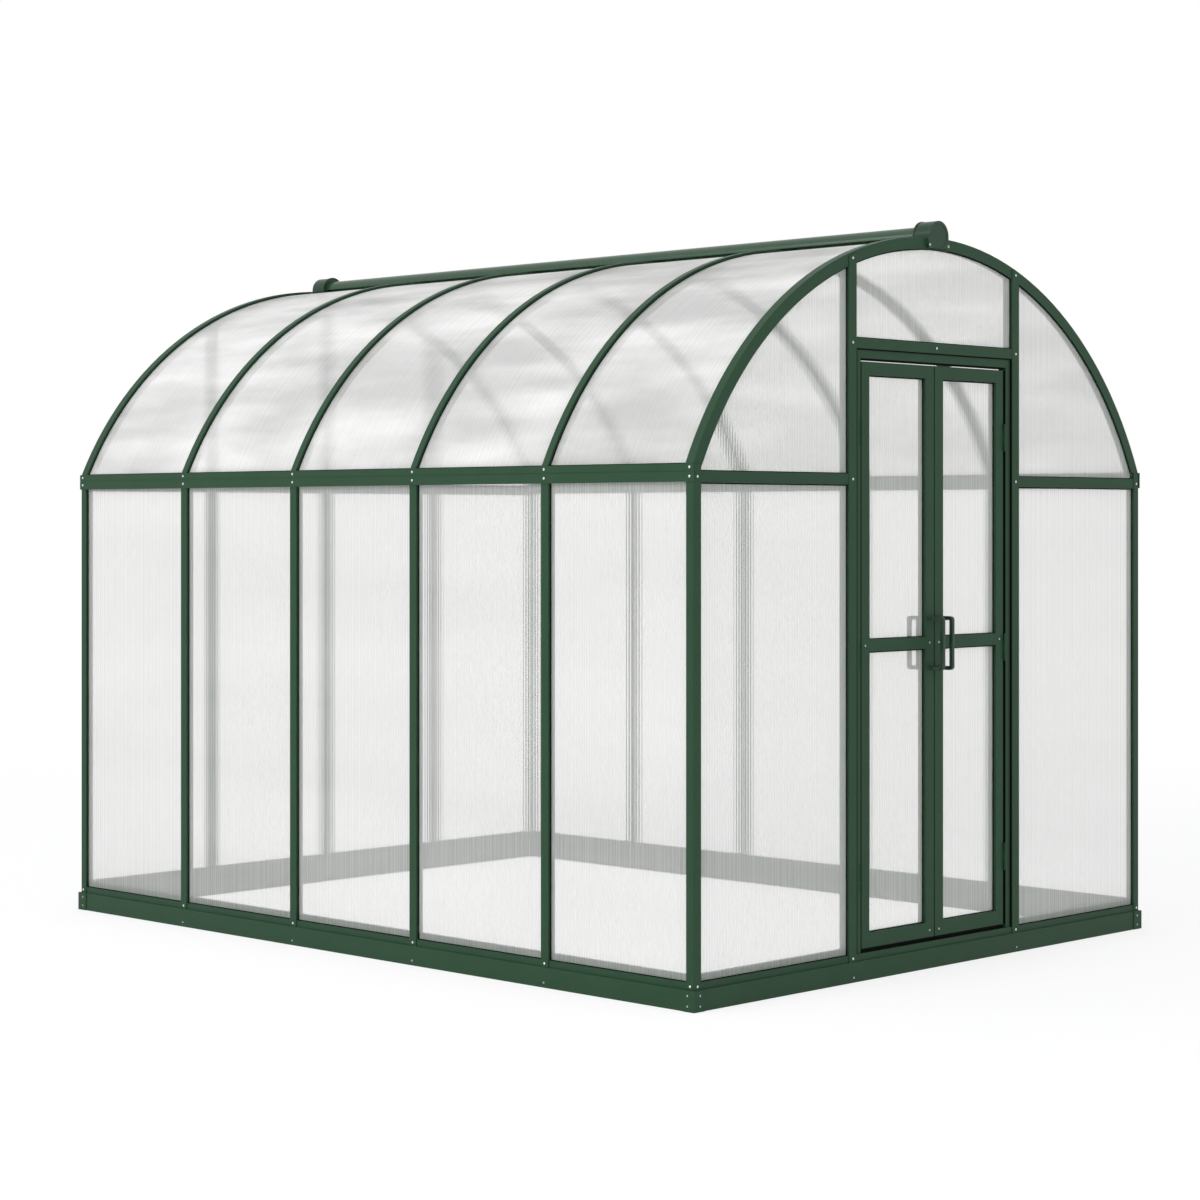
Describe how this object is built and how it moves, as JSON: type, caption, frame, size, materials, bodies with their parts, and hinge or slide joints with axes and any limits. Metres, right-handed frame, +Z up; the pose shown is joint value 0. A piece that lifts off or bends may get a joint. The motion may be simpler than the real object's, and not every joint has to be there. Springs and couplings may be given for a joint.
{
  "type": "polycarbonate greenhouse",
  "caption": "Walk-in barrel-roof greenhouse with a dark green aluminium frame, fluted clear polycarbonate sheets, a half-round ridge cover and hinged double doors.",
  "frame": {"origin": "middle of the footprint, on the ground", "axes": "+Z up, doors in the front wall at -Y, +X to the right of a person who faces the doors"},
  "size_m": [2.406, 3.209, 2.472],
  "materials": {
    "frame_coating": "satin powder coat, dark green",
    "polycarbonate": "clear fluted twin-wall sheet",
    "cap_plastic": "moulded, dark green",
    "pull_coating": "semi-gloss coat, dark green",
    "hinge_pin_steel": "zinc-plated"
  },
  "bodies": {
    "frame": {"arch_2": "frame_coating", "arch_3": "frame_coating", "arch_4": "frame_coating", "arch_5": "frame_coating", "arch_front": "frame_coating", "arch_rear": "frame_coating", "arch_splice_plates": "frame_coating", "base_corner_brackets": "frame_coating", "base_sill_front": "frame_coating", "base_sill_left": "frame_coating", "base_sill_rear": "frame_coating", "base_sill_right": "frame_coating", "corner_post_front_left": "frame_coating", "corner_post_front_right": "frame_coating", "corner_post_rear_left": "frame_coating", "corner_post_rear_right": "frame_coating", "door_header": "frame_coating", "door_jamb_left": "frame_coating", "door_jamb_right": "frame_coating", "door_post_left": "frame_coating", "door_post_right": "frame_coating", "door_transom": "frame_coating", "eave_left": "frame_coating", "eave_right": "frame_coating", "frame_hinge_leaves": "frame_coating", "front_sheet_left": "polycarbonate", "front_sheet_right": "polycarbonate", "gable_rail_front_left": "frame_coating", "gable_rail_front_right": "frame_coating", "gable_rails_rear": "frame_coating", "gable_sheet_left": "polycarbonate", "gable_sheet_right": "polycarbonate", "rear_gable_sheets": "polycarbonate", "rear_posts": "frame_coating", "rear_sheets": "polycarbonate", "ridge_beam": "frame_coating", "ridge_cap_front": "cap_plastic", "ridge_cap_rear": "cap_plastic", "ridge_cover": "frame_coating", "roof_sheets_left": "polycarbonate", "roof_sheets_right": "polycarbonate", "side_posts_left": "frame_coating", "side_posts_right": "frame_coating", "transom_sheet": "polycarbonate", "wall_sheets_left": "polycarbonate", "wall_sheets_right": "polycarbonate"},
    "left_door": {"left_door_hinge_leaves": "frame_coating", "left_door_hinge_pins": "hinge_pin_steel", "left_door_hinge_stile": "frame_coating", "left_door_meeting_stile": "frame_coating", "left_door_pulls": "pull_coating", "left_door_rails": "frame_coating", "left_door_sheets": "polycarbonate"},
    "right_door": {"right_door_hinge_leaves": "frame_coating", "right_door_hinge_pins": "hinge_pin_steel", "right_door_hinge_stile": "frame_coating", "right_door_meeting_stile": "frame_coating", "right_door_pulls": "pull_coating", "right_door_rails": "frame_coating", "right_door_sheets": "polycarbonate"}
  },
  "joints": [
    {"name": "left_door_swing", "type": "hinge", "parent": "frame", "child": "left_door", "pos_m": [-0.388, -1.569, 1], "axis": [0, 0, -1], "range_deg": [0, 120]},
    {"name": "right_door_swing", "type": "hinge", "parent": "frame", "child": "right_door", "pos_m": [0.388, -1.569, 1], "axis": [0, 0, 1], "range_deg": [0, 120]}
  ]
}
